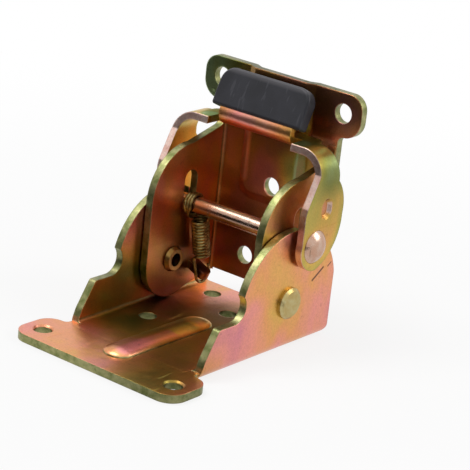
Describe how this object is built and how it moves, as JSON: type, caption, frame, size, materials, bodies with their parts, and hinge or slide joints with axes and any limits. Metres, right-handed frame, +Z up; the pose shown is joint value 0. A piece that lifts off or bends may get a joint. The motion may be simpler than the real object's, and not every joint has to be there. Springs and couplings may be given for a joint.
{
  "type": "folding leg bracket",
  "caption": "Self-locking folding bracket in pressed sheet steel: a U-shaped base with front wings, a T-headed leg bracket that folds through a right angle, and a sprung release yoke.",
  "frame": {"origin": "middle of the bounding box in plan, at the underside of the base", "axes": "+X across the bracket, to the right as seen from the front wings; +Y from the front wings to the back plate; +Z up, away from the surface that the base stands on"},
  "size_m": [0.05, 0.064, 0.061],
  "materials": {
    "yellow_zinc_base": "yellow iridescent chromated zinc plate",
    "yellow_zinc_leg": "yellow iridescent chromated zinc plate",
    "yellow_zinc_yoke": "yellow iridescent chromated zinc plate",
    "rivet_steel": "plated steel, upset by riveting",
    "pin_steel": "plated steel, smooth",
    "spring_steel": "drawn spring wire",
    "black_rubber": "matt black moulding"
  },
  "bodies": {
    "base": {"base_bracket": "yellow_zinc_base", "pivot_rivet_left": "rivet_steel", "pivot_rivet_right": "rivet_steel"},
    "leg": {"leg_bracket": "yellow_zinc_leg", "return_spring": "spring_steel"},
    "lock": {"lock_pin": "pin_steel", "release_yoke": "yellow_zinc_yoke", "grip_sleeve": "black_rubber"}
  },
  "joints": [
    {"name": "leg_fold", "type": "hinge", "parent": "base", "child": "leg", "pos_m": [0, 0.0144, 0.0122], "axis": [1, 0, 0], "range_deg": [0, 90]},
    {"name": "release_lift", "type": "slide", "parent": "leg", "child": "lock", "axis": [0, 0, 1], "range_m": [0, 0.006], "stiffness_N_per_m": 4400, "springref_m": -0.0015, "deforming": ["return_spring"]}
  ]
}
